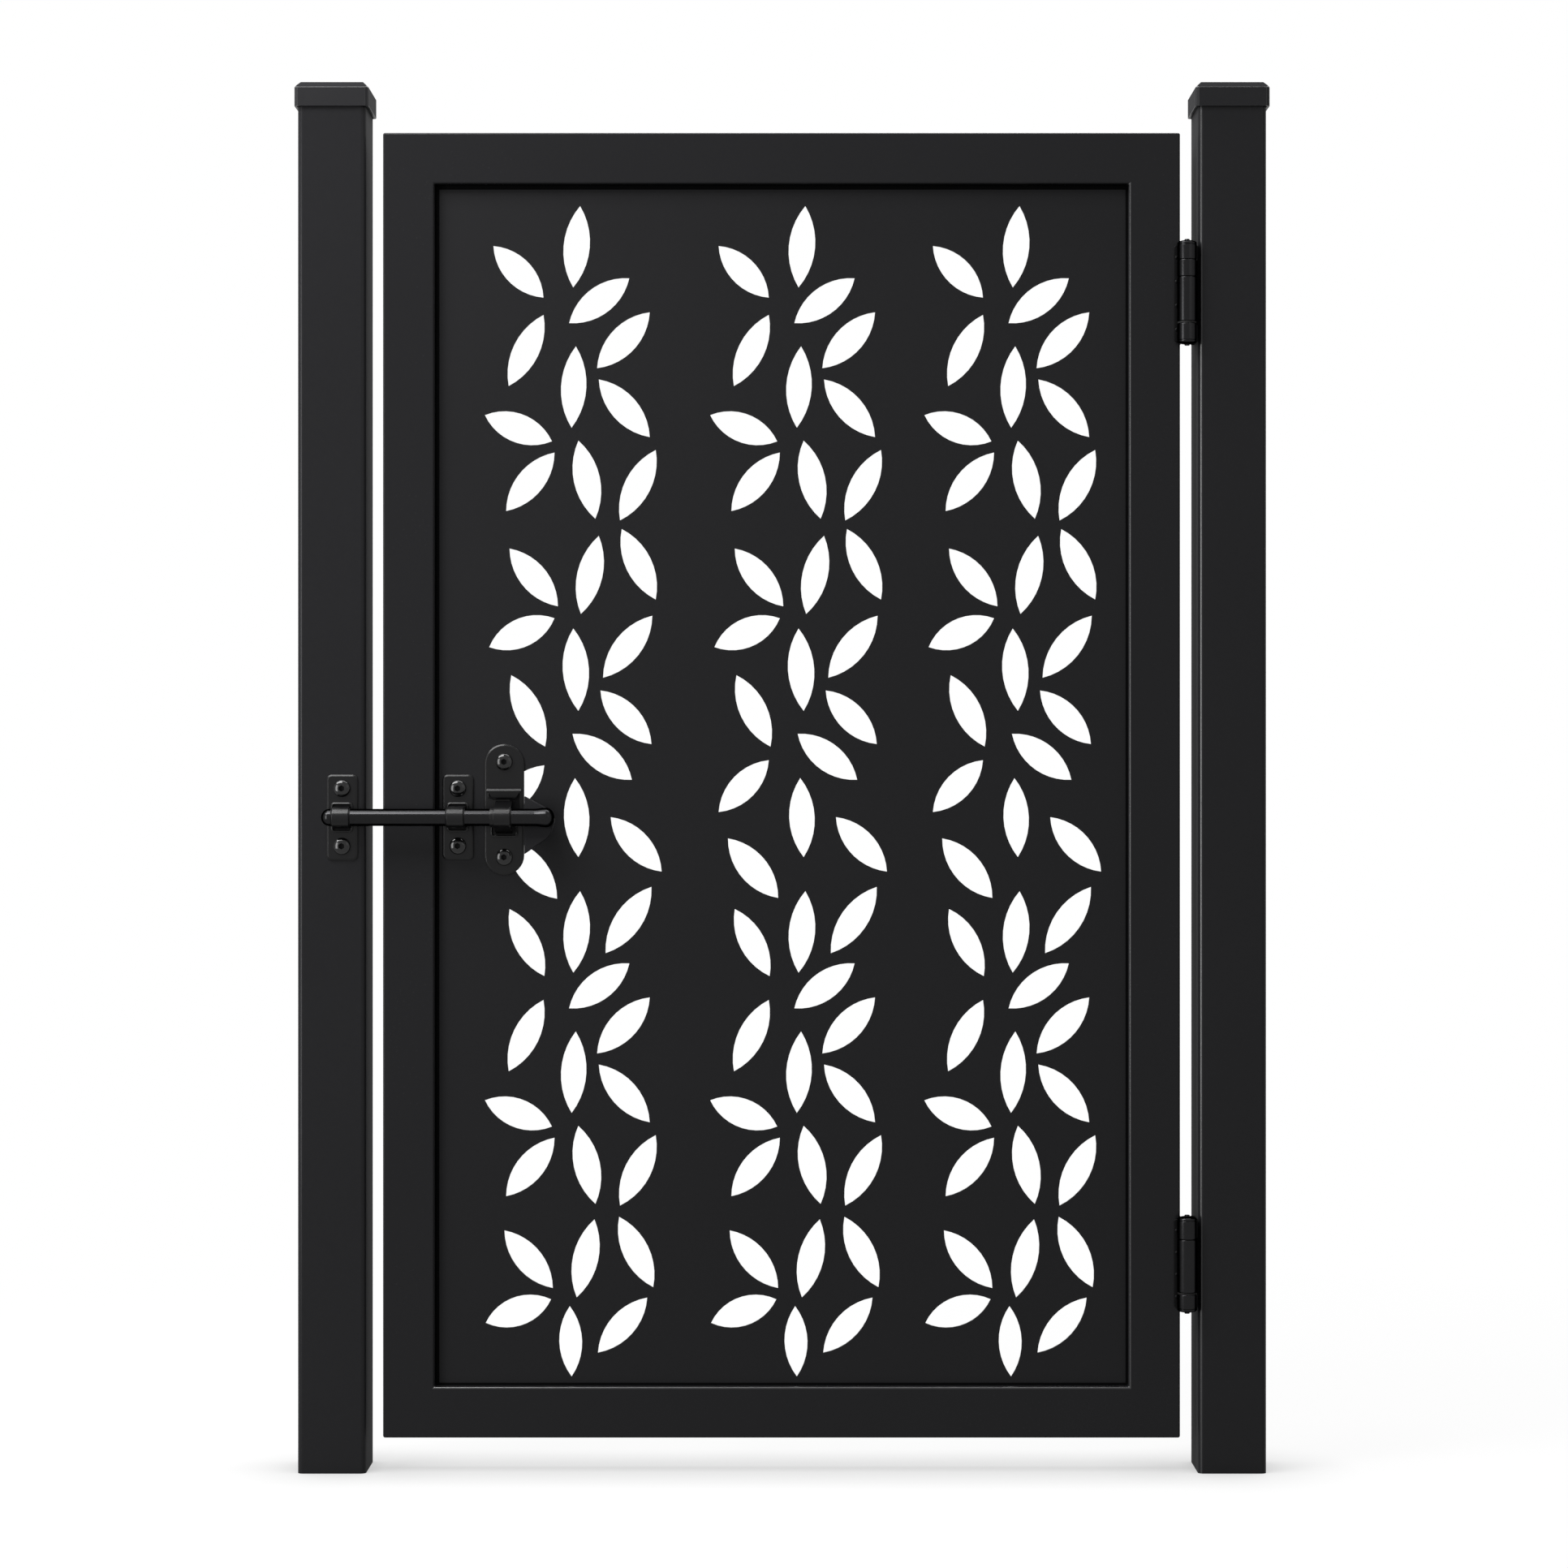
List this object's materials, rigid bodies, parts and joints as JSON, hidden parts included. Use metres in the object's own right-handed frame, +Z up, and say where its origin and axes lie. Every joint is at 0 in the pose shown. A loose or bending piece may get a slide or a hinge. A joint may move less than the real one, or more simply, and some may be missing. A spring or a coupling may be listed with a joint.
{
  "type": "garden gate",
  "caption": "Black metal pedestrian garden gate: leaf-cut sheet panel in a box frame, hung on barrel hinges between capped square posts, with a sliding bolt.",
  "frame": {"origin": "on the ground, midway between the posts, at the middle of the overall depth", "axes": "+X to the right along the gate seen from its front, +Y away from the viewer, +Z up"},
  "size_m": [1.1412, 0.1086, 1.629],
  "materials": {
    "post": "matt black powder coat on square tube",
    "frame": "matt black powder coat on box section",
    "panel": "matt black powder coat on cut sheet",
    "key": "bare cast corner cleat, hidden",
    "hardware": "satin black steel",
    "cap": "matt black moulded plastic",
    "washer": "black bearing plastic"
  },
  "bodies": {
    "posts": {"latch_post": "post", "hinge_post": "post", "latch_post_cap": "cap", "hinge_post_cap": "cap", "upper_hinge_post_leaf": "hardware", "upper_hinge_pin": "hardware", "upper_hinge_pin_nut": "hardware", "upper_hinge_spacer": "hardware", "upper_hinge_washer": "washer", "upper_hinge_post_screws": "hardware", "lower_hinge_post_leaf": "hardware", "lower_hinge_pin": "hardware", "lower_hinge_pin_nut": "hardware", "lower_hinge_washer": "washer", "lower_hinge_post_screws": "hardware", "keeper": "hardware", "keeper_screws": "hardware"},
    "gate_leaf": {"frame_bottom_rail": "frame", "frame_top_rail": "frame", "frame_latch_stile": "frame", "frame_hinge_stile": "frame", "frame_corner_keys": "key", "leaf_panel": "panel", "upper_hinge_gate_leaf": "hardware", "upper_hinge_gate_screws": "hardware", "lower_hinge_gate_leaf": "hardware", "lower_hinge_gate_screws": "hardware", "guide": "hardware", "guide_screws": "hardware", "lock_bracket": "hardware", "lock_bracket_screws": "hardware", "lock_backing": "hardware", "latch_nuts": "hardware"},
    "bolt": {"bolt_rod": "hardware", "bolt_thumb_plate": "hardware"}
  },
  "joints": [
    {"name": "gate_swing", "type": "hinge", "parent": "posts", "child": "gate_leaf", "pos_m": [0.4739, -0.0292, 0.8], "axis": [0, 0, 1], "range_deg": [0, 170]},
    {"name": "bolt_slide", "type": "slide", "parent": "gate_leaf", "child": "bolt", "axis": [1, 0, 0], "range_m": [0, 0.076]}
  ]
}
